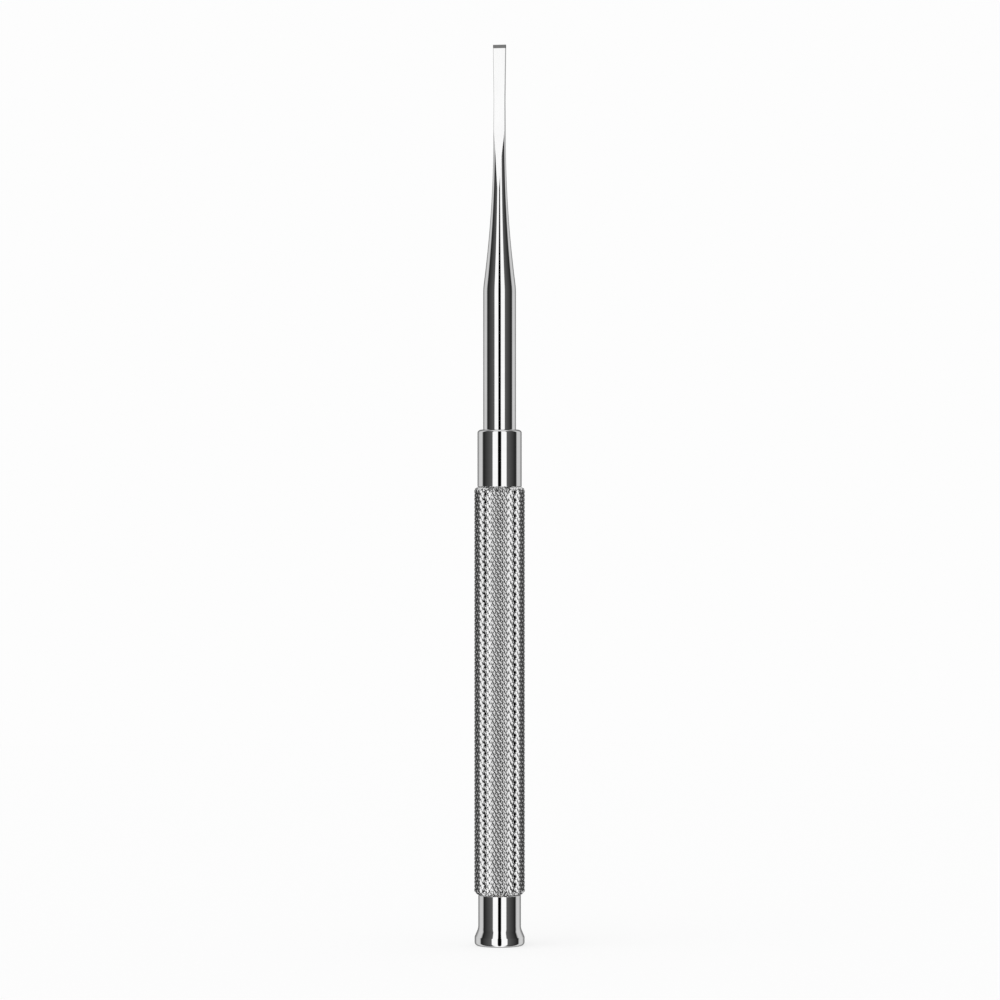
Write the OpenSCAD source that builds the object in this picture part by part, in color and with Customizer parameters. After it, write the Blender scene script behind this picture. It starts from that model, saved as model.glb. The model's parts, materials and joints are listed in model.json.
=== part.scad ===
// Watchmaker's screwdriver. A collet holds the blade, and the head turns on a ball bearing.
// Z is the tool's axis, Z = 0 is the head's rest face, and the blade's tip is at the top.
// All sizes are in millimetres.

/* [Overall] */
// Length from the head's rest face to the blade's tip
total_l = 110; // [106:1:116]

/* [Blade] */
// Width of the blade at its tip
tip_w = 1.6; // [1.5:0.05:1.8]
// Narrowest width of the blade
narrow_w = 1.43; // [1.3:0.01:1.5]
// Distance from the tip to the narrowest place
narrow_l = 6.8; // [5:0.2:8]
// Width of the blade where the concave taper begins
waist_w = 1.5; // [1.45:0.01:1.6]
// Distance from the tip to the start of the taper
waist_l = 11; // [10:0.2:12]
// Length of the concave taper
taper_l = 18.7; // [16:0.1:20]
// Thickness of the blade's working edge
edge_t = 0.24; // [0.16:0.02:0.3]
// Thickness of the blade behind its end bevel
tip_t = 0.4; // [0.36:0.02:0.5]
// Thickness of the blade at the end of its flats
root_t = 0.56; // [0.5:0.02:0.7]
// Height of the end bevel
bevel_l = 0.43; // [0.2:0.01:0.8]
// Length of the flats
flat_l = 10.4; // [9:0.1:10.8]
// Radius of the shoulder that the flats run out over
runout_r = 29; // [24:1:34]
// Diameter of the round shank
shank_d = 4; // [3.9:0.05:4.1]
// Diameter of the tang that the collet grips
tang_d = 2.6; // [2.5:0.05:2.7]

/* [Collar] */
// Outside diameter of the collar
collar_d = 5.4; // [5.2:0.05:5.6]
// Length of the collar
collar_l = 7.1; // [6.8:0.1:7.6]
// Radius of the collar's front edge
collar_round = 0.45; // [0.2:0.05:0.5]

/* [Grip] */
// Outside diameter over the knurl
grip_d = 6.2; // [6.1:0.05:7]
// Bore of the grip
grip_bore_d = 4.2; // [4.1:0.05:4.3]
// Length of the grip
grip_l = 49.6; // [46:0.2:54]

/* [Head] */
// Height of the head
head_l = 6.2; // [6:0.1:7]
// Diameter of the head's neck
neck_d = 5.2; // [5.1:0.05:5.4]
// Diameter of the head's rim
rim_d = 6.1; // [5.9:0.05:6.6]
// Depth of the finger dish in the head's end
dish_depth = 0.3; // [0.1:0.05:0.5]
// Number of balls in the bearing
ball_count = 7; // [6:1:7]

/* [Hidden] */
$fn = 96;

// Radial clearance between pieces that move, and between pieces that are fixed together
run_gap = 0.03;
seat_gap = 0.01;
// Axial gaps between the head and the grip, and between the grip and the collar
head_gap = 0.1;
collar_gap = 0.05;
// Lead-in chamfer on pins, plugs and screws
lead_in = 0.15;
// Longer than any cut needs to be
big = 20;

// Radii
tip_r = tip_w / 2;
narrow_r = narrow_w / 2;
waist_r = waist_w / 2;
shank_r = shank_d / 2;
tang_r = tang_d / 2;
collar_r = collar_d / 2;
grip_r = grip_d / 2;
tube_r = grip_bore_d / 2;
neck_r = neck_d / 2;
rim_r = rim_d / 2;

// Stations along the axis
grip_z0 = head_l + head_gap;
grip_z1 = grip_z0 + grip_l;
collar_z0 = grip_z1 + collar_gap;
collar_z1 = grip_z1 + collar_l;
waist_z = total_l - waist_l;

// Chuck. The collar has a counterbore for the shank, then a web, then the cone and the thread.
counterbore_l = 0.85;
web_l = 0.4;
cone_l = 1.85;
cone_r = 1.5;
thread_r = 2.2;
cone_slope = (thread_r - cone_r) / cone_l;
web_z1 = collar_z1 - counterbore_l;
web_z0 = web_z1 - web_l;
cone_z0 = web_z0 - cone_l;
chuck_front_z = cone_z0 - 0.45;
chuck_l = 17.5;
chuck_rear_z = chuck_front_z - chuck_l;
stem_r = 1.62;
stem_l = 11.5;
tang_z0 = chuck_rear_z + 3;
tang_z1 = web_z1 + 0.1;
stop_r = 1;
driver_slot_w = 0.3;

// Key that stops the collet from turning, in one of the collet's four slots
collet_slot_w = 0.36;
collet_slot_l = 9;
key_r = collet_slot_w / 2 - run_gap;
key_z = grip_z1 - 2.4;
key_angle = 45;

// Bearing: 1.5 x 4 x 2 mm
bearing_l = 2;
bearing_z0 = 2.6;
bearing_z1 = bearing_z0 + bearing_l;
bearing_z = bearing_z0 + bearing_l / 2;
bearing_r = 2;
pitch_r = 1.38;
ball_r = 0.395;
race_r = 0.41;
inner_land_r = 1.08;
outer_land_r = 1.68;
shield_l = 0.12;
shield_inset = 0.08;

// Pivot screw, and the head's fittings
screw_r = 0.74;
screw_hole_r = 0.76;
screw_l = 9.9;
shim_l = 0.1;
cap_r = 2.14;
cap_l = 1.17;
cap_recess = 0.03;
clip_r = 2.18;
clip_l = 0.24;
clip_z0 = bearing_z0 - 0.04 - clip_l;

// Points of a circular arc from angle a0 to angle a1 round (x, y)
function arc(x, y, r, a0, a1, steps) =
    [for (i = [0 : steps])
        let (a = a0 + (a1 - a0) * i / steps)
        [x + r * cos(a), y + r * sin(a)]];

// Radius of the arc that is tangent to a line and leaves it by rise over a length of run
function sag_radius(run, rise) = (run * run + rise * rise) / (2 * rise);

// A rod or tube round the axis between two heights
module ring(r0, r1, z0, z1) {
    rotate_extrude()
        translate([r0, z0])
            square([r1 - r0, z1 - z0]);
}

// The blade before its flats are ground: tang, shank and concave taper
module blade_round() {
    taper_r = sag_radius(taper_l, shank_r - waist_r);
    sweep = asin(taper_l / taper_r);
    shoulder_chamfer = 0.1;
    rotate_extrude()
        polygon(concat(
            [[0, tang_z0],
             [tang_r - lead_in, tang_z0],
             [tang_r, tang_z0 + lead_in],
             [tang_r, tang_z1],
             [shank_r - shoulder_chamfer, tang_z1],
             [shank_r, tang_z1 + shoulder_chamfer]],
            arc(waist_r + taper_r, waist_z, taper_r, 180 + sweep, 180, 14),
            [[narrow_r, total_l - narrow_l],
             [tip_r, total_l],
             [0, total_l]]));
}

// Side view of what the grinding wheel leaves of the blade
module flats_profile() {
    bevel_z = total_l - bevel_l;
    root_z = total_l - flat_l;
    start_a = 10.2;
    end_a = 2.9;
    runout_end = arc(root_t / 2 - runout_r * cos(start_a), root_z - runout_r * sin(start_a),
                     runout_r, start_a, end_a, 8);
    last = runout_end[len(runout_end) - 1];
    tail_l = 4.5;
    tail_z = last[1] - tail_l;
    right = concat(
        [[edge_t / 2, total_l], [tip_t / 2, bevel_z]],
        runout_end,
        [[last[0] + tail_l * tan(end_a), tail_z], [big / 2, tail_z], [big / 2, 0]]);
    left = [for (i = [len(right) - 1 : -1 : 0]) [-right[i][0], right[i][1]]];
    polygon(concat(right, left));
}

module blade() {
    color("gainsboro")
        intersection() {
            blade_round();
            rotate([90, 0, 90])
                translate([0, 0, -big / 2])
                    linear_extrude(big)
                        flats_profile();
        }
}

// Clamping nut. Its cone closes the collet on the tang.
module chuck_collar() {
    rear_chamfer = 0.1;
    shank_bore_r = shank_r + run_gap;
    color("silver")
        rotate_extrude()
            polygon(concat(
                [[thread_r + lead_in, collar_z0],
                 [collar_r - rear_chamfer, collar_z0],
                 [collar_r, collar_z0 + rear_chamfer]],
                arc(collar_r - collar_round, collar_z1 - collar_round, collar_round, 0, 90, 8),
                [[shank_bore_r, collar_z1],
                 [shank_bore_r, web_z1],
                 [cone_r, web_z1],
                 [cone_r, web_z0],
                 [thread_r, cone_z0],
                 [thread_r, collar_z0 + lead_in]]));
}

// Split sleeve with a conical head
module collet() {
    bore_r = tang_r + run_gap;
    head_r = thread_r - 0.08;
    front_r = cone_r - run_gap;
    front_z = web_z0 - 0.05;
    seat_z = chuck_front_z + 0.05;
    color("darkkhaki")
        difference() {
            rotate_extrude()
                polygon([
                    [bore_r, seat_z - stem_l],
                    [stem_r, seat_z - stem_l],
                    [stem_r, seat_z],
                    [head_r, seat_z],
                    [head_r, front_z - (head_r - front_r) / cone_slope],
                    [front_r, front_z],
                    [bore_r, front_z]]);
            for (turn = [0, 90])
                rotate(key_angle + turn)
                    translate([-big / 2, -collet_slot_w / 2, seat_z - collet_slot_l])
                        cube([big, collet_slot_w, big]);
        }
}

// A radial rod at the key's place, between two radii
module key_rod(r, from_r, to_r) {
    rotate(key_angle)
        translate([from_r, 0, key_z])
            rotate([0, 90, 0])
                cylinder(r = r, h = to_r - from_r, $fn = 32);
}

module collet_key() {
    color("dimgray")
        key_rod(key_r, tang_r + 0.1, tube_r - 2 * seat_gap);
}

// Front plug of the grip: the collar screws on to it, and the collet slides in it
module chuck_body() {
    flange_l = 0.5;
    flange_r = 2.5;
    plug_r = tube_r - seat_gap;
    male_r = thread_r - run_gap;
    bore_r = stem_r + run_gap;
    floor_z = chuck_rear_z + 2;
    color("darkgray")
        difference() {
            rotate_extrude()
                polygon([
                    [stop_r + seat_gap, chuck_rear_z],
                    [plug_r - lead_in, chuck_rear_z],
                    [plug_r, chuck_rear_z + lead_in],
                    [plug_r, grip_z1 - flange_l],
                    [flange_r, grip_z1 - flange_l],
                    [flange_r, grip_z1],
                    [male_r, grip_z1],
                    [male_r, chuck_front_z - lead_in],
                    [male_r - lead_in, chuck_front_z],
                    [bore_r, chuck_front_z],
                    [bore_r, floor_z],
                    [stop_r + seat_gap, floor_z]]);
            key_rod(key_r + seat_gap, tang_r, tube_r + 1);
        }
}

// Slotted grub screw that sets how deep the blade sits
module depth_stop() {
    stop_l = 2.7;
    stop_z1 = tang_z0 - 0.05;
    slot_depth = 0.5;
    color("dimgray")
        difference() {
            ring(0, stop_r, stop_z1 - stop_l, stop_z1);
            translate([-big / 2, -driver_slot_w / 2, stop_z1 - slot_depth])
                cube([big, driver_slot_w, slot_depth + 1]);
        }
}

// Hollow grip, at its diameter over the knurl's crests
module knurled_grip() {
    front_round = 0.35;
    rear_chamfer = 0.3;
    flange_seat_r = 2.51;
    flange_seat_z = grip_z1 - 0.52;
    color("lightgray")
        rotate_extrude()
            polygon(concat(
                [[tube_r, grip_z0],
                 [grip_r - rear_chamfer, grip_z0],
                 [grip_r, grip_z0 + rear_chamfer]],
                arc(grip_r - front_round, grip_z1 - front_round, front_round, 0, 90, 6),
                [[flange_seat_r, grip_z1],
                 [flange_seat_r, flange_seat_z],
                 [tube_r, flange_seat_z]]));
}

// Rear plug of the grip, tapped for the pivot screw
module rear_plug() {
    plug_l = 8;
    plug_r = tube_r - seat_gap;
    color("darkgray")
        rotate_extrude()
            polygon([
                [screw_hole_r, grip_z0],
                [plug_r, grip_z0],
                [plug_r, grip_z0 + plug_l - lead_in],
                [plug_r - lead_in, grip_z0 + plug_l],
                [screw_hole_r, grip_z0 + plug_l]]);
}

// Keeps the head clear of the grip
module spacer_bush() {
    color("goldenrod")
        ring(screw_hole_r, inner_land_r + 0.07, bearing_z1, grip_z0);
}

module shim_washer() {
    color("silver")
        ring(screw_hole_r, inner_land_r, bearing_z0 - shim_l, bearing_z0);
}

// Slotted screw that the bearing's inner ring is clamped by
module pivot_screw() {
    head_r = 1.25;
    head_depth = 0.8;
    slot_depth = 0.35;
    seat_z = bearing_z0 - shim_l;
    head_z = seat_z - head_depth;
    color("gray")
        difference() {
            rotate_extrude()
                polygon([
                    [0, head_z],
                    [head_r - lead_in, head_z],
                    [head_r, head_z + lead_in],
                    [head_r, seat_z],
                    [screw_r, seat_z],
                    [screw_r, seat_z + screw_l - lead_in],
                    [screw_r - lead_in, seat_z + screw_l],
                    [0, seat_z + screw_l]]);
            translate([-big / 2, -driver_slot_w / 2, head_z - 1])
                cube([big, driver_slot_w, slot_depth + 1]);
        }
}

// Groove that the balls run in
module raceway() {
    rotate_extrude()
        translate([pitch_r, bearing_z])
            circle(race_r);
}

module bearing_inner_ring() {
    color("silver")
        difference() {
            ring(screw_r + seat_gap, inner_land_r, bearing_z0, bearing_z1);
            raceway();
        }
}

module bearing_outer_ring() {
    chamfer = 0.1;
    color("silver")
        difference() {
            rotate_extrude()
                polygon([
                    [outer_land_r, bearing_z0],
                    [bearing_r - chamfer, bearing_z0],
                    [bearing_r, bearing_z0 + chamfer],
                    [bearing_r, bearing_z1 - chamfer],
                    [bearing_r - chamfer, bearing_z1],
                    [outer_land_r, bearing_z1]]);
            raceway();
        }
}

// A sphere at each ball's place
module at_balls(r) {
    for (i = [0 : ball_count - 1])
        rotate(i * 360 / ball_count)
            translate([pitch_r, 0, bearing_z])
                sphere(r);
}

module bearing_balls() {
    color("whitesmoke")
        at_balls(ball_r);
}

module bearing_cage() {
    cage_half_l = 0.55;
    cage_half_w = 0.11;
    pocket_gap = 0.035;
    color("goldenrod")
        difference() {
            ring(pitch_r - cage_half_w, pitch_r + cage_half_w,
                 bearing_z - cage_half_l, bearing_z + cage_half_l);
            at_balls(ball_r + pocket_gap);
        }
}

// Thin disc that closes one side of the bearing
module shield(z0) {
    color("lightsteelblue")
        ring(inner_land_r + 0.05, outer_land_r - seat_gap, z0, z0 + shield_l);
}

module upper_shield() {
    shield(bearing_z1 - shield_inset - shield_l);
}

module lower_shield() {
    shield(bearing_z0 + shield_inset);
}

// Spring clip with two eyes, in a groove under the bearing
module retaining_ring() {
    inner_r = 1.76;
    mouth_w = 0.9;
    eye_r = 0.2;
    eye_hole_r = 0.09;
    eye_x = 1.62;
    eye_y = 0.62;
    color("dimgray")
        translate([0, 0, clip_z0])
            linear_extrude(clip_l)
                difference() {
                    union() {
                        difference() {
                            circle(clip_r);
                            circle(inner_r);
                            translate([0, -mouth_w / 2])
                                square([big, mouth_w]);
                        }
                        for (side = [-1, 1])
                            translate([eye_x, side * eye_y])
                                circle(eye_r);
                    }
                    for (side = [-1, 1])
                        translate([eye_x, side * eye_y])
                            circle(eye_hole_r);
                }
}

// Turning shell of the head: rest face, flared rim and neck
module head_shell() {
    base_round = 0.42;
    rim_z = 1;
    rim_round = 0.3;
    flare_angle = 23;
    flare_round = 1.5;
    neck_chamfer = 0.08;
    rounds = rim_round + flare_round;
    cone_rise = (rim_r - neck_r - rounds * (1 - cos(flare_angle))) / tan(flare_angle);
    neck_z = rim_z + rounds * sin(flare_angle) + cone_rise;
    bearing_bore_r = bearing_r + seat_gap;
    cap_bore_r = cap_r + seat_gap;
    top_hole_r = outer_land_r + 0.07;
    cap_seat_z = cap_recess + cap_l + seat_gap;
    color("gainsboro")
        difference() {
            rotate_extrude()
                polygon(concat(
                    [[cap_bore_r, 0]],
                    arc(rim_r - base_round, base_round, base_round, -90, 0, 8),
                    arc(rim_r - rim_round, rim_z, rim_round, 0, flare_angle, 3),
                    arc(neck_r + flare_round, neck_z, flare_round, 180 + flare_angle, 180, 5),
                    [[neck_r, head_l - neck_chamfer],
                     [neck_r - neck_chamfer, head_l],
                     [top_hole_r, head_l],
                     [top_hole_r, bearing_z1],
                     [bearing_bore_r, bearing_z1],
                     [bearing_bore_r, cap_seat_z],
                     [cap_bore_r, cap_seat_z]]));
            ring(0, clip_r + 2 * seat_gap, clip_z0 - run_gap, clip_z0 + clip_l + run_gap);
        }
}

// Plug with a shallow dish for the fingertip
module head_cap() {
    dish_r = 1.85;
    dish_sphere_r = sag_radius(dish_r, dish_depth);
    color("silver")
        difference() {
            ring(0, cap_r, cap_recess, cap_recess + cap_l);
            translate([0, 0, cap_recess + dish_depth - dish_sphere_r])
                sphere(dish_sphere_r);
        }
}

blade();
chuck_collar();
collet();
collet_key();
chuck_body();
depth_stop();
knurled_grip();
rear_plug();
spacer_bush();
shim_washer();
pivot_screw();
bearing_inner_ring();
bearing_balls();
bearing_cage();
bearing_outer_ring();
upper_shield();
lower_shield();
retaining_ring();
head_shell();
head_cap();
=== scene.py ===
"""The looks of a watchmaker's screwdriver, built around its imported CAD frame.

Outlines are in millimetres, as (radius, height) along the tool's axis, and become metres when a
mesh is made. The head stands on the floor and the blade's tip is at the top.
"""

import json
import math

import bmesh
import bpy
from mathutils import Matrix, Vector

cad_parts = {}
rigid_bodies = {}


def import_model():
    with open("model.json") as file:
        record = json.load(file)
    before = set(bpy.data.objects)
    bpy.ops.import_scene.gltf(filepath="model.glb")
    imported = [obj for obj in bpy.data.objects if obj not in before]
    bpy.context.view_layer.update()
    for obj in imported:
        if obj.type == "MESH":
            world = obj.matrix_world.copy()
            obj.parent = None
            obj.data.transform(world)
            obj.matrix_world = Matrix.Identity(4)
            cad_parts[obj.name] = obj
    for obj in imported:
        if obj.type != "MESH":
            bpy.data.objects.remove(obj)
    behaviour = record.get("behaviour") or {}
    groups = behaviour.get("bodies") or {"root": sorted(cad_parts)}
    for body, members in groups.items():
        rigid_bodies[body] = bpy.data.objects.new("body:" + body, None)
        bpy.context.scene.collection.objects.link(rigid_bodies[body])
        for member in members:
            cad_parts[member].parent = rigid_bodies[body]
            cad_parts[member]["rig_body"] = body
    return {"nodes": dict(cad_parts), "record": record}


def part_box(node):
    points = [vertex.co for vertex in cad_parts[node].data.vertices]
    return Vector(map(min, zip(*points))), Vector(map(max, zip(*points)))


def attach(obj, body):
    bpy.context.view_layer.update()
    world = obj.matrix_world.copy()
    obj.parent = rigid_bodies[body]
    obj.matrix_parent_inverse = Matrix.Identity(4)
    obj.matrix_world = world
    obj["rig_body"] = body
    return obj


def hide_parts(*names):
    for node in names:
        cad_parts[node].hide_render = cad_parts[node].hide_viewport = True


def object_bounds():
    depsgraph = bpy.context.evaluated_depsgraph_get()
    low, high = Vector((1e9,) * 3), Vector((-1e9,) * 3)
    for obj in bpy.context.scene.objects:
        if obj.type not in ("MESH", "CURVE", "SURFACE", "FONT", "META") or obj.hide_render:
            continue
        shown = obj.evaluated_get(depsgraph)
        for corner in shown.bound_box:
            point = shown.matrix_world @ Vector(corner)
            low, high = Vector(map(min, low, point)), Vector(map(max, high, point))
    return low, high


MM = 0.001
SEGMENTS = 192
SHARP_ANGLE = math.radians(24)
LONG_STRETCH = 0.3
SUPPORT_GAP = 0.03
TINY = 1e-6

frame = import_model()
cad_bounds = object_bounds()
slot_of = {part["node"]: part["material_slot"] for part in frame["record"]["subparts"]}


# ---------------------------------------------------------------- frame sizes, in millimetres

def bottom(node):
    """Lowest height of a CAD node."""
    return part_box(node)[0].z / MM


def top(node):
    """Greatest height of a CAD node."""
    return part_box(node)[1].z / MM


def outer_radius(node):
    """Largest radius of a CAD node that is round about the tool's axis."""
    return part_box(node)[1].x / MM


# ---------------------------------------------------------------- mesh helpers

def arc(centre, radius, start, end, steps):
    """Points of a circular arc between two angles in degrees."""
    turns = [math.radians(start + (end - start) * k / steps) for k in range(steps + 1)]
    return [(centre[0] + radius * math.cos(a), centre[1] + radius * math.sin(a)) for a in turns]


def sag_radius(run, rise):
    """Radius of the arc that leaves a tangent line by rise over a length of run."""
    return (run * run + rise * rise) / (2 * rise)


def supported(outline, closed):
    """The outline with a point close to both ends of each long stretch, which keeps shading even."""
    points = []
    count = len(outline)
    for k in range(count if closed else count - 1):
        (r0, z0), (r1, z1) = outline[k], outline[(k + 1) % count]
        points.append((r0, z0))
        length = math.hypot(r1 - r0, z1 - z0)
        if length > LONG_STRETCH:
            for share in (SUPPORT_GAP / length, 1 - SUPPORT_GAP / length):
                points.append((r0 + (r1 - r0) * share, z0 + (z1 - z0) * share))
    if not closed:
        points.append(outline[-1])
    return points


def bridge(ring_a, ring_b):
    """Faces between two rings of vertex numbers. A ring of one vertex is a pole."""
    count = max(len(ring_a), len(ring_b))
    faces = []
    for k in range(count):
        n = (k + 1) % count
        if len(ring_a) == 1:
            faces.append((ring_a[0], ring_b[n], ring_b[k]))
        elif len(ring_b) == 1:
            faces.append((ring_a[k], ring_a[n], ring_b[0]))
        else:
            faces.append((ring_a[k], ring_a[n], ring_b[n], ring_b[k]))
    return faces


def turned(outline, segments=SEGMENTS):
    """Vertices and faces of an outline turned round the axis. A radius may be a rule of the angle.

    An outline that starts on the axis ends there too; any other one closes on itself.
    """
    closed = callable(outline[0][0]) or outline[0][0] > TINY
    vertices, rings = [], []
    for radius, z in outline:
        if not callable(radius) and radius < TINY:
            rings.append([len(vertices)])
            vertices.append((0, 0, z))
            continue
        rings.append(list(range(len(vertices), len(vertices) + segments)))
        for k in range(segments):
            angle = 2 * math.pi * k / segments
            r = radius(angle) if callable(radius) else radius
            vertices.append((r * math.cos(angle), r * math.sin(angle), z))
    pairs = list(zip(rings, rings[1:] + rings[:1]))
    faces = []
    for ring_a, ring_b in pairs if closed else pairs[:-1]:
        faces.extend(bridge(ring_a, ring_b))
    return vertices, faces


def stand_in(name, node, geometry, materials, pick=None):
    """A detailed piece in the place of one CAD node: it takes the node's body, and the node is hidden.
    """
    vertices, faces = geometry
    mesh = bpy.data.meshes.new(name)
    mesh.from_pydata([[c * MM for c in v] for v in vertices], [], faces)
    for material in materials:
        mesh.materials.append(material)
    if pick:
        for polygon in mesh.polygons:
            polygon.material_index = pick(polygon)
    editing = bmesh.new()
    editing.from_mesh(mesh)
    bmesh.ops.recalc_face_normals(editing, faces=editing.faces)
    editing.to_mesh(mesh)
    editing.free()
    mesh.shade_smooth()
    mesh.set_sharp_from_angle(angle=SHARP_ANGLE)
    piece = bpy.data.objects.new(name, mesh)
    bpy.context.scene.collection.objects.link(piece)
    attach(piece, frame["nodes"][node]["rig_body"])
    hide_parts(node)
    return piece


# ---------------------------------------------------------------- materials

class Nodes:
    """Adds and links the nodes of one shader tree."""

    def __init__(self, tree):
        self.tree = tree
        tree.nodes.clear()

    def add(self, kind, **settings):
        """A node of that kind. A setting is a property, or a socket if it starts with in_."""
        node = self.tree.nodes.new("ShaderNode" + kind)
        for key, value in settings.items():
            if key.startswith("in_"):
                socket = key[3:]
                target = node.inputs[int(socket) if socket.isdigit() else socket]
                self.feed(target, value)
            else:
                setattr(node, key, value)
        return node

    def feed(self, target, value):
        """Links an output to a socket, or sets the socket's constant."""
        if isinstance(value, bpy.types.NodeSocket):
            self.tree.links.new(value, target)
        else:
            target.default_value = value

    def math(self, operation, a, b=0.0):
        """The output of a math node."""
        node = self.add("Math", operation=operation, in_0=a, in_1=b)
        return node.outputs[0]

    def ramp(self, factor, low, high, to_low=0.0, to_high=1.0, smooth=False):
        """factor taken from the range low..high to the range to_low..to_high."""
        node = self.add("MapRange", interpolation_type="SMOOTHSTEP" if smooth else "LINEAR")
        for socket, value in zip(node.inputs, (factor, low, high, to_low, to_high)):
            self.feed(socket, value)
        return node.outputs[0]

    def noise(self, coordinates, scale, detail=2.0):
        """Noise with its own scale, per metre, along each axis."""
        place = self.add("Mapping", in_Vector=coordinates, in_Scale=scale)
        node = self.add("TexNoise", in_Vector=place.outputs[0], in_Scale=1.0, in_Detail=detail)
        return node.outputs[0]

    def mix(self, factor, a, b):
        """The colour between a and b."""
        node = self.add("Mix", data_type="RGBA")
        self.feed(node.inputs["Factor"], factor)
        self.feed(node.inputs[6], a)
        self.feed(node.inputs[7], b)
        return node.outputs[2]


def shade(colour, share):
    """A colour made lighter or darker by a share, with its alpha."""
    return [min(1.0, c * share) for c in colour] + [1.0]


def metal(name, colour, rough, grain, mark_depth, patchiness=0.04, groove=None):
    """Bare metal: patchy tone and roughness, and tool marks that run across the grain's fine axis.

    rough is the lowest and highest roughness, grain the marks' scale along X, Y and Z per metre,
    and mark_depth their depth in metres. groove is (root radius, crest radius) in metres of a knurl,
    whose roots then get painted shade, a darker colour that also stands for dirt, and are duller than
    its crests.
    """
    material = bpy.data.materials.new(name)
    material.use_nodes = True
    n = Nodes(material.node_tree)
    place = n.add("TexCoord").outputs["Object"]
    patches = n.noise(place, PATCHES, detail=3.0)
    marks = n.noise(place, grain, detail=2.0)
    both = n.math("MULTIPLY_ADD", marks, 0.5)
    n.feed(both.node.inputs[2], n.math("MULTIPLY", patches, 0.5))
    tone = n.ramp(both, 0.3, 0.7)
    finish = n.ramp(both, 0.3, 0.7, rough[0], rough[1])
    base = n.mix(tone, shade(colour, 1 - patchiness), shade(colour, 1 + patchiness))
    if groove:
        flat_place = n.add("VectorMath", operation="MULTIPLY", in_0=place, in_1=(1, 1, 0))
        reach = n.add("VectorMath", operation="LENGTH", in_0=flat_place.outputs[0])
        height = n.ramp(reach.outputs["Value"], groove[0], groove[1], smooth=True)
        # Painted shade: the roots of the knurl are darkened as shade in the grooves, and this also
        # stands for dirt there.
        root_shade_share, wall_shade_share = 0.80, 0.95
        root_rough = 0.04
        root = n.mix(tone, shade(colour, root_shade_share), shade(colour, wall_shade_share))
        base = n.mix(height, root, base)
        finish = n.math("ADD", finish, n.ramp(height, 0.0, 1.0, root_rough, 0.0))
    bump = n.add("Bump", in_Strength=1.0, in_Distance=mark_depth, in_Height=marks)
    surface = n.add("BsdfPrincipled", in_Metallic=1.0, in_Roughness=finish)
    n.feed(surface.inputs["Base Color"], base)
    n.feed(surface.inputs["Normal"], bump.outputs[0])
    output = n.add("OutputMaterial")
    n.feed(output.inputs["Surface"], surface.outputs[0])
    return material


NEUTRAL = (0.80, 0.80, 0.80)
PATCHES = (420, 420, 260)
ROUND_MARKS = (300, 300, 9000)
ROUND_MARKS_COARSE = (300, 300, 30000)
LONG_MARKS = (22000, 22000, 350)
ALL_ROUND = (5000, 5000, 5000)

knurl_depth = 0.16
grip_crest = outer_radius("knurled_grip")

polished = metal("polished_steel", NEUTRAL, (0.015, 0.045), ROUND_MARKS, 5.0e-8)
blade_polish = metal("polished_blade_steel", NEUTRAL, (0.015, 0.05), ROUND_MARKS, 6.0e-8)
ground = metal("ground_blade_steel", NEUTRAL, (0.07, 0.12), LONG_MARKS, 2.0e-7)
bevel_steel = metal("ground_bevel_steel", (0.19, 0.19, 0.19), (0.24, 0.32), ALL_ROUND, 6.0e-7)
knurled = metal(
    "knurled_steel",
    (0.84, 0.84, 0.84),
    (0.04, 0.09),
    ALL_ROUND,
    6.0e-7,
    patchiness=0.08,
    groove=((grip_crest - knurl_depth) * MM, grip_crest * MM),
)
turned_steel = metal("turned_steel", (0.66, 0.66, 0.67), (0.18, 0.30), ROUND_MARKS_COARSE, 1.5e-6)
spring_steel = metal("spring_steel", (0.58, 0.57, 0.56), (0.20, 0.32), LONG_MARKS, 8.0e-7, 0.07)
dark_steel = metal("dark_steel", (0.13, 0.13, 0.145), (0.26, 0.42), ALL_ROUND, 1.5e-6, 0.15)
bearing_steel = metal("bearing_steel", (0.76, 0.76, 0.78), (0.04, 0.10), ROUND_MARKS, 1.5e-7)
bronze = metal("bronze", (0.32, 0.21, 0.11), (0.20, 0.34), ROUND_MARKS_COARSE, 1.2e-6, 0.10)

slot_finish = {
    "blade_steel": blade_polish,
    "polished_steel": polished,
    "knurled_steel": knurled,
    "turned_steel": turned_steel,
    "spring_steel": spring_steel,
    "dark_steel": dark_steel,
    "bearing_steel": bearing_steel,
    "bronze": bronze,
}

for node_name, node_object in frame["nodes"].items():
    node_object.data.materials.clear()
    node_object.data.materials.append(slot_finish[slot_of[node_name]])


# ---------------------------------------------------------------- blade

tip_z = top("blade")
tang_z = bottom("blade")
shank_r = outer_radius("blade")
collar_top = top("chuck_collar")

TIP_R = 0.8
NARROW_R = 0.715
NARROW_L = 6.8
WAIST_R = 0.75
WAIST_L = 11.0
TAPER_L = 18.7
TANG_R = 1.3
LEAD_IN = 0.15
SHOULDER_DROP = 0.75
SHOULDER_CHAMFER = 0.1
TAPER_BLEND = 0.6
EDGE_HALF = 0.12
TIP_HALF = 0.20
ROOT_HALF = 0.28
BEVEL_L = 0.43
FLAT_L = 10.4
RUNOUT_R = 29.0
RUNOUT_START = math.radians(10.2)
RUNOUT_END = math.radians(2.9)
FLAT_END_L = 18.6
EDGE_FILLET = 0.05
STRIP_ANGLE = math.radians(4)
FILLET_ANGLE = math.radians(7)
STRIP_STEPS = 16
FILLET_STEPS = 6
FLANK_STEPS = 40

waist_z = tip_z - WAIST_L
taper_z = waist_z - TAPER_L
taper_arc_r = sag_radius(TAPER_L, shank_r - WAIST_R)


def taper_radius(z):
    """Radius of the concave taper."""
    return WAIST_R + taper_arc_r - math.sqrt(taper_arc_r**2 - (waist_z - z) ** 2)


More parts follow.
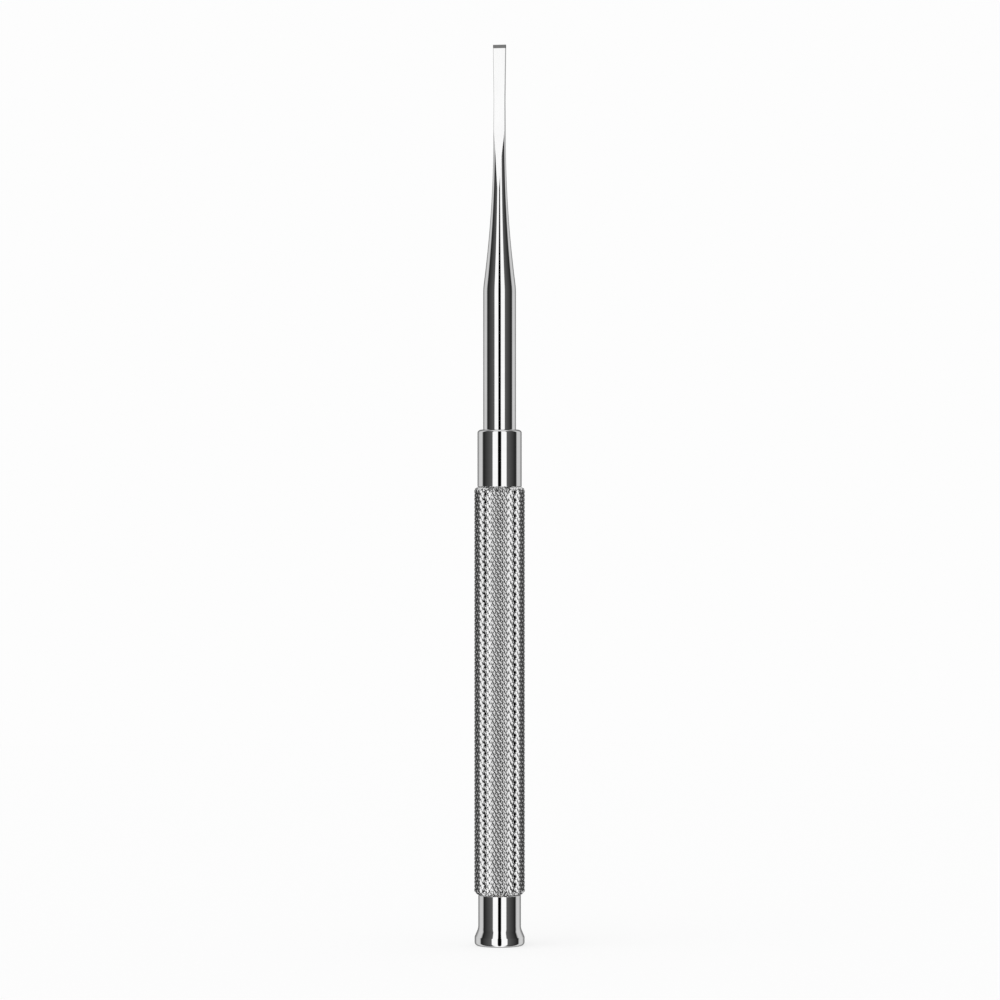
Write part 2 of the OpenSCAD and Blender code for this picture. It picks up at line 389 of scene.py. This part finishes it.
def round_radius(z):
    """Radius of the shank, taper and blade before the flats are ground."""
    if z < taper_z - TAPER_BLEND:
        return shank_r
    if z < taper_z + TAPER_BLEND:
        slope = TAPER_L / (taper_arc_r - shank_r + WAIST_R)
        return shank_r - slope * (z - taper_z + TAPER_BLEND) ** 2 / (4 * TAPER_BLEND)
    if z < waist_z:
        return taper_radius(z)
    narrow_z = tip_z - NARROW_L
    if z < narrow_z:
        return WAIST_R + (NARROW_R - WAIST_R) * (z - waist_z) / (narrow_z - waist_z)
    return NARROW_R + (TIP_R - NARROW_R) * (z - narrow_z) / NARROW_L


def flat_half(z):
    """Half the thickness that the grinding wheel leaves at a height."""
    root_z = tip_z - FLAT_L
    bevel_z = tip_z - BEVEL_L
    if z > bevel_z:
        return TIP_HALF + (EDGE_HALF - TIP_HALF) * (z - bevel_z) / BEVEL_L
    if z > root_z:
        return ROOT_HALF + (TIP_HALF - ROOT_HALF) * (z - root_z) / (bevel_z - root_z)
    centre_y = ROOT_HALF - RUNOUT_R * math.cos(RUNOUT_START)
    centre_z = root_z - RUNOUT_R * math.sin(RUNOUT_START)
    tail_z = centre_z + RUNOUT_R * math.sin(RUNOUT_END)
    if z > tail_z:
        return centre_y + math.sqrt(RUNOUT_R**2 - (z - centre_z) ** 2)
    tail_half = centre_y + RUNOUT_R * math.cos(RUNOUT_END)
    end_z = tip_z - FLAT_END_L
    slope = (taper_radius(end_z) - tail_half) / (tail_z - end_z)
    return tail_half + slope * (tail_z - z)


def spread(start, end, step):
    """Heights from start up to, but not including, end, about a step apart."""
    count = max(1, round((end - start) / step))
    return [start + (end - start) * k / count for k in range(count)]


def blade_rows():
    """The blade's rows from tang to tip, as (height, round radius)."""
    shoulder_z = collar_top - SHOULDER_DROP
    shank_z = shoulder_z + SHOULDER_CHAMFER
    rows = [(tang_z, TANG_R - LEAD_IN), (tang_z + LEAD_IN, TANG_R)]
    rows += [(tang_z + LEAD_IN + SUPPORT_GAP, TANG_R), (shoulder_z - SUPPORT_GAP, TANG_R)]
    rows += [(shoulder_z, TANG_R), (shoulder_z, shank_r - SHOULDER_CHAMFER), (shank_z, shank_r)]
    rows += [(z, shank_r) for z in spread(shank_z + SUPPORT_GAP, taper_z - TAPER_BLEND, 3.0)]
    blend_top = taper_z + TAPER_BLEND
    flat_start = tip_z - FLAT_END_L
    bevel_z = tip_z - BEVEL_L
    heights = spread(taper_z - TAPER_BLEND, blend_top, 0.1)
    heights += spread(blend_top, flat_start, 0.4)
    heights += spread(flat_start, waist_z + 1.0, 0.12)
    heights += spread(waist_z + 1.0, bevel_z - SUPPORT_GAP, 0.5)
    heights += [bevel_z - SUPPORT_GAP, bevel_z]
    heights += [bevel_z + SUPPORT_GAP, tip_z - SUPPORT_GAP, tip_z]
    return rows + [(z, round_radius(z)) for z in heights]


def blade_ring(z, radius):
    """One cross-section: two flats with rounded long edges, and two round flanks.

    Every height has the same vertices. Where there is no flat they all lie on the circle.
    """
    half = flat_half(z) if z > tip_z - FLAT_END_L else radius
    half = min(half, radius)
    fillet_x = math.sqrt((radius - EDGE_FILLET) ** 2 - (half - EDGE_FILLET) ** 2)
    fillet_end = math.atan2(fillet_x, half - EDGE_FILLET)
    flank_x = radius * math.sin(fillet_end)

    def height(x):
        """Distance of the skin from the middle plane."""
        if x < fillet_x:
            return half
        if x < flank_x:
            return half - EDGE_FILLET + math.sqrt(max(0.0, EDGE_FILLET**2 - (x - fillet_x) ** 2))
        return math.sqrt(max(0.0, radius**2 - x**2))

    strip_x = max(fillet_x, radius * math.sin(STRIP_ANGLE))
    outer_x = max(flank_x, radius * math.sin(FILLET_ANGLE))
    turn = max(fillet_end, FILLET_ANGLE)
    shares = [math.sin(turn * k / FILLET_STEPS) / math.sin(turn) for k in range(1, FILLET_STEPS + 1)]
    right = [strip_x + (outer_x - strip_x) * share for share in shares]
    xs = [-x for x in reversed(right)]
    xs += [strip_x * (2 * k / STRIP_STEPS - 1) for k in range(STRIP_STEPS + 1)]
    xs += right
    start = math.asin(outer_x / radius)
    turns = [start + (math.pi - 2 * start) * k / FLANK_STEPS for k in range(1, FLANK_STEPS)]
    ring = []
    for side in (1, -1):
        ring.extend((side * x, -side * height(abs(x)), z) for x in xs)
        ring.extend((side * radius * math.sin(a), -side * radius * math.cos(a), z) for a in turns)
    return ring


def blade_geometry():
    """The whole blade as one closed skin, and the end faces as fans."""
    vertices, rings = [], []
    for z, radius in blade_rows():
        ring = blade_ring(z, radius)
        rings.append(list(range(len(vertices), len(vertices) + len(ring))))
        vertices.extend(ring)
    faces = []
    for ring_a, ring_b in zip(rings, rings[1:]):
        faces.extend(bridge(ring_a, ring_b))
    for ring, z in ((rings[0], tang_z), (rings[-1], tip_z)):
        faces.extend(bridge([len(vertices)], ring))
        vertices.append((0, 0, z))
    return vertices, faces


def blade_finish(polygon):
    """Material number: 0 polished, 1 ground flat, 2 end bevel."""
    centre = polygon.center / MM
    if centre.z > tip_z - BEVEL_L:
        return 2
    if centre.z < tip_z - FLAT_END_L or abs(polygon.normal.y) < 0.9:
        return 0
    on_flat = abs(abs(centre.y) - flat_half(centre.z)) < 0.002
    return 1 if on_flat else 0


stand_in("screwdriver_blade", "blade", blade_geometry(),
         [blade_polish, ground, bevel_steel], blade_finish)


# ---------------------------------------------------------------- collar

COLLAR_CHAMFER = 0.1
COLLAR_EDGE_R = 0.58
COLLAR_EDGE_L = 0.37
THREAD_R = 2.2
CONE_R = 1.5
COUNTERBORE_L = 0.85
WEB_L = 0.4
CONE_L = 1.85
RUN_GAP = 0.03
MOUTH_CHAMFER = 0.04


def collar_outline():
    """The clamping nut: elliptical front edge, shank bore, web, cone and thread bore."""
    low = bottom("chuck_collar")
    radius = outer_radius("chuck_collar")
    bore_r = shank_r + RUN_GAP
    web_top = collar_top - COUNTERBORE_L
    cone_z = web_top - WEB_L - CONE_L
    edge = [
        (radius - COLLAR_EDGE_R * (1 - math.cos(a)), collar_top - COLLAR_EDGE_L * (1 - math.sin(a)))
        for a in [math.radians(90 * k / 12) for k in range(13)]
    ]
    return (
        [(THREAD_R + LEAD_IN, low), (radius - COLLAR_CHAMFER, low), (radius, low + COLLAR_CHAMFER)]
        + edge
        + [(bore_r + MOUTH_CHAMFER, collar_top), (bore_r, collar_top - MOUTH_CHAMFER)]
        + [(bore_r, web_top), (CONE_R, web_top), (CONE_R, web_top - WEB_L)]
        + [(THREAD_R, cone_z), (THREAD_R, low + LEAD_IN)]
    )


stand_in("clamping_collar", "chuck_collar",
         turned(supported(collar_outline(), closed=True)), [polished])


# ---------------------------------------------------------------- chuck body with its thread

THREAD_PITCH = 0.5
THREAD_DEPTH = 0.27
THREAD_ROWS = 16
CREST_FLAT = 0.14
ROOT_FLAT = 0.22


def thread_height(share):
    """0 at the root and 1 at the crest of a V thread, at a share of the pitch."""
    from_crest = abs(share - 0.5) * 2
    return min(1.0, max(0.0, (1 - ROOT_FLAT - from_crest) / (1 - ROOT_FLAT - CREST_FLAT)))


def chuck_outline():
    """The front plug of the grip, with a real right-hand thread for the collar."""
    low, high = bottom("chuck_body"), top("chuck_body")
    grip_top = top("knurled_grip")
    plug_r, flange_r, flange_l = 2.09, outer_radius("chuck_body"), 0.5
    crest_r, bore_r, stop_hole_r, floor_l = 2.17, 1.65, 1.01, 2.0
    root_r = crest_r - THREAD_DEPTH

    def thread_rule(z):
        limit = min(crest_r, crest_r - LEAD_IN + high - z, root_r + 2 * max(0, z - grip_top - 0.1))

        def radius(angle):
            share = (z / THREAD_PITCH - angle / (2 * math.pi)) % 1
            return min(root_r + THREAD_DEPTH * thread_height(share), limit)

        return radius

    plain = [
        (stop_hole_r, low), (plug_r - LEAD_IN, low), (plug_r, low + LEAD_IN),
        (plug_r, grip_top - flange_l), (flange_r, grip_top - flange_l),
        (flange_r, grip_top - 0.05), (flange_r - 0.05, grip_top),
    ]
    threaded = [(thread_rule(z), z) for z in spread(grip_top, high, THREAD_PITCH / THREAD_ROWS)]
    floor_z = low + floor_l
    inner = [(crest_r - LEAD_IN, high), (bore_r, high), (bore_r, floor_z), (stop_hole_r, floor_z)]
    return supported(plain, closed=False) + threaded + inner


stand_in("threaded_chuck_body", "chuck_body", turned(chuck_outline()), [turned_steel])


# ---------------------------------------------------------------- knurled grip

KNURL_STARTS = 36
KNURL_PITCHES = 52
KNURL_KNOTS = 4
DEEP_LAND = 0.76
FINE_LAND = 0.58
FINE_SHARE = 0.7
CROWN_DROP = 0.014
FRONT_ROUND = 0.35
REAR_CHAMFER = 0.3
TUBE_R = 2.1
FLANGE_SEAT_R = 2.51
FLANGE_SEAT_L = 0.52


def knurl_knot(k, land):
    """Place of a lattice line in groove spacings: groove bottom, edge of its wall, crest, edge."""
    shares = (0.0, land / 2, 0.5, 1 - land / 2)
    return k // KNURL_KNOTS + shares[k % KNURL_KNOTS]


def knurl_groove(place, depth, land):
    """Depth below the crests. A wall climbs from the groove's bottom over a share of the land."""
    share = place % 1
    climb = 2 * min(share, 1 - share)
    if climb > land:
        return CROWN_DROP * (1 - (climb - land) / (1 - land))
    return CROWN_DROP + (depth - CROWN_DROP) * (1 - climb / land)


def knurl_geometry():
    """Two crossing families of helical V grooves, on a lattice that follows both of them.

    The grooves that fall to the right are deeper and wider than the ones that cross them.
    """
    low, high = bottom("knurled_grip"), top("knurled_grip")
    steps = KNURL_KNOTS
    around = KNURL_STARTS * steps
    along = 2 * KNURL_PITCHES * steps
    rise = (high - low) / KNURL_PITCHES

    def end_limit(z):
        """Radius that the rounded front edge and the rear chamfer allow."""
        limit = min(grip_crest, grip_crest - REAR_CHAMFER + z - low)
        into_round = z - (high - FRONT_ROUND)
        if into_round > 0:
            rest = FRONT_ROUND**2 - min(into_round, FRONT_ROUND) ** 2
            limit = min(limit, grip_crest - FRONT_ROUND + math.sqrt(max(0.0, rest)))
        return limit

    vertices = []
    for d in range(along + 1):
        for j in range(around):
            u, v = knurl_knot(j + d, DEEP_LAND), knurl_knot(j, FINE_LAND)
            angle = math.pi * (u + v) / KNURL_STARTS
            z = low + rise * (u - v) / 2
            deep = knurl_groove(u, knurl_depth, DEEP_LAND)
            fine = knurl_groove(v, knurl_depth * FINE_SHARE, FINE_LAND)
            r = end_limit(z) - max(deep, fine)
            vertices.append((r * math.sin(angle), -r * math.cos(angle), z))

    def at(j, d):
        return d * around + j % around

    faces = []
    for j in range(around):
        faces.append((at(j, 0), at(j + 1, 0), at(j, 1)))
        faces.append((at(j, along), at(j + 1, along - 1), at(j + 1, along)))
        for d in range(1, along):
            west, east = at(j, d), at(j + 1, d)
            north, south = at(j, d + 1), at(j + 1, d - 1)
            low_u = (j + d) % steps < steps / 2
            low_v = j % steps < steps / 2
            if low_u == low_v:
                faces.extend([(west, east, north), (west, south, east)])
            else:
                faces.extend([(west, south, north), (south, east, north)])

    def ring(radius, z, d):
        """A plain ring whose vertices stand at the same angles as a row of the lattice."""
        start = len(vertices)
        for j in range(around):
            x, y, _ = vertices[at(j, d)]
            size = math.hypot(x, y)
            vertices.append((x / size * radius, y / size * radius, z))
        return list(range(start, start + around))

    seat_z = high - FLANGE_SEAT_L
    rings = [[at(j, along) for j in range(around)]]
    rings.append(ring(FLANGE_SEAT_R, high, along))
    rings.append(ring(FLANGE_SEAT_R, seat_z, along))
    rings.append(ring(TUBE_R, seat_z, along))
    rings.append(ring(TUBE_R, low, 0))
    rings.append([at(j, 0) for j in range(around)])
    for ring_a, ring_b in zip(rings, rings[1:]):
        faces.extend(bridge(ring_a, ring_b))
    return vertices, faces


stand_in("diamond_knurled_grip", "knurled_grip", knurl_geometry(), [knurled])


# ---------------------------------------------------------------- head

RIM_Z = 1.0
RIM_ROUND = 0.3
FLARE_DEGREES = 23
FLARE_ROUND = 1.5
BASE_ROUND = 0.42
NECK_CHAMFER = 0.08
SEAT_GAP = 0.01


def head_outline():
    """The turning shell: rest face, round base, flared rim, neck, and the seats inside."""
    high = top("head_shell")
    rim_r = outer_radius("head_shell")
    neck_r = 2.6
    flare = math.radians(FLARE_DEGREES)
    rounds = RIM_ROUND + FLARE_ROUND
    cone_rise = (rim_r - neck_r - rounds * (1 - math.cos(flare))) / math.tan(flare)
    neck_z = RIM_Z + rounds * math.sin(flare) + cone_rise
    bore_r = outer_radius("bearing_outer_ring") + SEAT_GAP
    cap_bore_r = outer_radius("head_cap") + SEAT_GAP
    cap_seat_z = top("head_cap") + SEAT_GAP
    clip_low = bottom("retaining_ring") - RUN_GAP
    clip_high = top("retaining_ring") + RUN_GAP
    groove_r = 2.2
    top_hole_r = 1.75
    bearing_top = top("bearing_outer_ring")
    return (
        [(cap_bore_r + 0.04, 0), (rim_r - BASE_ROUND, 0)]
        + arc((rim_r - BASE_ROUND, BASE_ROUND), BASE_ROUND, -90, 0, 14)[1:]
        + arc((rim_r - RIM_ROUND, RIM_Z), RIM_ROUND, 0, FLARE_DEGREES, 6)
        + arc((neck_r + FLARE_ROUND, neck_z), FLARE_ROUND, 180 + FLARE_DEGREES, 180, 12)
        + [(neck_r, high - NECK_CHAMFER), (neck_r - NECK_CHAMFER, high), (top_hole_r, high)]
        + [(top_hole_r, bearing_top), (bore_r, bearing_top), (bore_r, clip_high)]
        + [(groove_r, clip_high), (groove_r, clip_low), (bore_r, clip_low)]
        + [(bore_r, cap_seat_z), (cap_bore_r, cap_seat_z), (cap_bore_r, 0.04)]
    )


def cap_outline():
    """The plug in the head's end, with a shallow dish for the fingertip."""
    low, high = bottom("head_cap"), top("head_cap")
    radius = outer_radius("head_cap")
    dish_r, dish_depth, edge = 1.85, 0.3, 0.05
    sphere_r = sag_radius(dish_r, dish_depth)
    sweep = math.degrees(math.asin(dish_r / sphere_r))
    dish = arc((0, low + dish_depth - sphere_r), sphere_r, 90, 90 - sweep, 24)
    dish[0] = (0, dish[0][1])
    return dish + [(radius - edge, low), (radius, low + edge), (radius, high - edge),
                   (radius - edge, high), (0, high)]


stand_in("flared_head", "head_shell", turned(supported(head_outline(), closed=True)), [polished])
stand_in("finger_dish_cap", "head_cap", turned(supported(cap_outline(), closed=False)), [polished])


# ---------------------------------------------------------------- camera

length = cad_bounds[1][2] - cad_bounds[0][2]
CAMERA_TURN = math.radians(11)
CAMERA_DISTANCE = 4.51
CAMERA_HEIGHT = 0.4945
CAMERA_SHIFT = 0.00045
LENS_MM = 146.2


def add_camera():
    """A level camera, a little to the right of square on to the blade's flats."""
    data = bpy.data.cameras.new("camera")
    data.lens = LENS_MM
    data.sensor_width = 36
    data.clip_start = 0.01
    camera = bpy.data.objects.new("camera", data)
    reach = CAMERA_DISTANCE * length
    shift = CAMERA_SHIFT * length
    camera.location = (
        reach * math.sin(CAMERA_TURN) + shift * math.cos(CAMERA_TURN),
        -reach * math.cos(CAMERA_TURN) + shift * math.sin(CAMERA_TURN),
        CAMERA_HEIGHT * length,
    )
    camera.rotation_euler = (math.pi / 2, 0, CAMERA_TURN)
    bpy.context.scene.collection.objects.link(camera)
    bpy.context.scene.camera = camera


add_camera()


# ---------------------------------------------------------------- studio

POLISH_REFLECTANCE = 0.80
WORLD_GAIN = 1.4
BACKGROUND_GREY = 253
CEILING_GREY = 128
OVERHEAD_GREY = 235
TABLE_GREY = 250
DOME_SHARE = 0.903
LAMP_SHARE = 0.71

# The studio round the tool, alike on both sides: degrees from the camera, and the grey that polished
# steel shows there. From the front: a black flag, a softbox, a grey wall that darkens to a black
# curtain, a second softbox, and a grey wall at the back.
STUDIO_PANELS = [
    (0, 0), (8, 0),
    (10, 250), (35, 250),
    (38, 90), (60, 70), (95, 25),
    (105, 200), (130, 200),
    (150, 120), (180, 110),
]


def linear(grey):
    """Light that a picture shows as that grey, from 0 to 255."""
    share = grey / 255
    return share / 12.92 if share <= 0.04045 else ((share + 0.055) / 1.055) ** 2.4


def grey_light(grey):
    """A world colour that polished steel shows as that grey."""
    light = linear(grey) / POLISH_REFLECTANCE / WORLD_GAIN
    return (light, light, light, 1)


def panel_ramp(n, share):
    """Light from the panels at a share of the half turn from the camera's side to the back."""
    node = n.add("ValToRGB", in_0=share)
    elements = node.color_ramp.elements
    while len(elements) > 1:
        elements.remove(elements[-1])
    for k, (degrees, grey) in enumerate(STUDIO_PANELS):
        place = degrees / 180
        element = elements[0] if k == 0 else elements.new(place)
        element.position = place
        element.color = grey_light(grey)
    return node.outputs[0]


def build_world():
    """Studio panels that only the metal sees, a plain pale backdrop, and an even dome for the floor."""
    world = bpy.data.worlds.new("studio")
    bpy.context.scene.world = world
    world.use_nodes = True
    n = Nodes(world.node_tree)
    place = n.add("TexCoord").outputs["Generated"]
    parts = n.add("SeparateXYZ", in_0=place).outputs
    away = n.math("MULTIPLY", parts[1], -1.0)
    azimuth = n.math("ARCTAN2", parts[0], away)
    from_camera = n.math("SUBTRACT", azimuth, CAMERA_TURN)
    turn = n.math("WRAP", from_camera, math.pi)
    n.feed(turn.node.inputs[2], -math.pi)
    share = n.ramp(n.math("ABSOLUTE", turn), 0.0, math.pi)
    elevation = n.math("ARCSINE", parts[2])
    panels = panel_ramp(n, share)

    def rise(start, end):
        return n.ramp(elevation, math.radians(start), math.radians(end), smooth=True)

    under_ceiling = n.mix(rise(44.0, 58.0), panels, grey_light(CEILING_GREY))
    overhead = n.mix(rise(60.0, 75.0), under_ceiling, grey_light(OVERHEAD_GREY))
    studio = n.mix(rise(-64.0, -80.0), overhead, grey_light(TABLE_GREY))
    seen = n.add("Background", in_Strength=WORLD_GAIN)
    n.feed(seen.inputs["Color"], studio)
    dome_light = DOME_SHARE * linear(BACKGROUND_GREY)
    dome = n.add("Background", in_Strength=dome_light, in_Color=(1, 1, 1, 1))
    paper_light = linear(BACKGROUND_GREY)
    paper = n.add("Background", in_Strength=paper_light, in_Color=(1, 1, 1, 1))
    ray = n.add("LightPath").outputs
    for_metal = n.add("MixShader", in_0=ray["Is Glossy Ray"])
    n.feed(for_metal.inputs[1], dome.outputs[0])
    n.feed(for_metal.inputs[2], seen.outputs[0])
    everything = n.add("MixShader", in_0=ray["Is Camera Ray"])
    n.feed(everything.inputs[1], for_metal.outputs[0])
    n.feed(everything.inputs[2], paper.outputs[0])
    output = n.add("OutputWorld")
    n.feed(output.inputs["Surface"], everything.outputs[0])
    world.cycles.sampling_method = "NONE"


def add_floor():
    """A wide pale disc that fades into the backdrop, and a soft light from above for its shadow."""
    radius, near, far = 0.7, 0.22, 0.62
    below = 0.00002
    mesh = bpy.data.meshes.new("floor")
    ring = [(radius * math.cos(a), radius * math.sin(a), -below)
            for a in [2 * math.pi * k / 64 for k in range(64)]]
    mesh.from_pydata(ring, [], [list(range(64))])
    material = bpy.data.materials.new("floor_paper")
    material.use_nodes = True
    n = Nodes(material.node_tree)
    place = n.add("TexCoord").outputs["Object"]
    reach = n.add("VectorMath", operation="LENGTH", in_0=place)
    fade = n.ramp(reach.outputs["Value"], near, far, smooth=True)
    fibres = n.noise(place, (900, 900, 900), detail=4.0)
    paper_albedo, speckle = 0.90, 0.004
    darker = shade((1, 1, 1), paper_albedo - speckle)
    lighter = shade((1, 1, 1), paper_albedo + speckle)
    tone = n.mix(fibres, darker, lighter)
    diffuse = n.add("BsdfDiffuse", in_Color=tone)
    own_light = linear(BACKGROUND_GREY)
    lit_table = n.add("Emission", in_Color=tone, in_Strength=own_light / paper_albedo)
    table_share = 0.7
    paper = n.add("MixShader", in_0=table_share)
    n.feed(paper.inputs[1], diffuse.outputs[0])
    n.feed(paper.inputs[2], lit_table.outputs[0])
    clear = n.add("BsdfTransparent")
    both = n.add("MixShader", in_0=fade)
    n.feed(both.inputs[1], paper.outputs[0])
    n.feed(both.inputs[2], clear.outputs[0])
    output = n.add("OutputMaterial")
    n.feed(output.inputs["Surface"], both.outputs[0])
    mesh.materials.append(material)
    floor = bpy.data.objects.new("floor", mesh)
    floor.visible_glossy = False
    bpy.context.scene.collection.objects.link(floor)
    data = bpy.data.lights.new("overhead_light", "SUN")
    data.energy = LAMP_SHARE * linear(BACKGROUND_GREY)
    data.angle = math.radians(50)
    lamp = bpy.data.objects.new("overhead_light", data)
    lamp.rotation_euler = (math.radians(24), math.radians(-18), 0)
    lamp.visible_glossy = False
    bpy.context.scene.collection.objects.link(lamp)


build_world()
add_floor()
bpy.context.scene.view_settings.view_transform = "Standard"
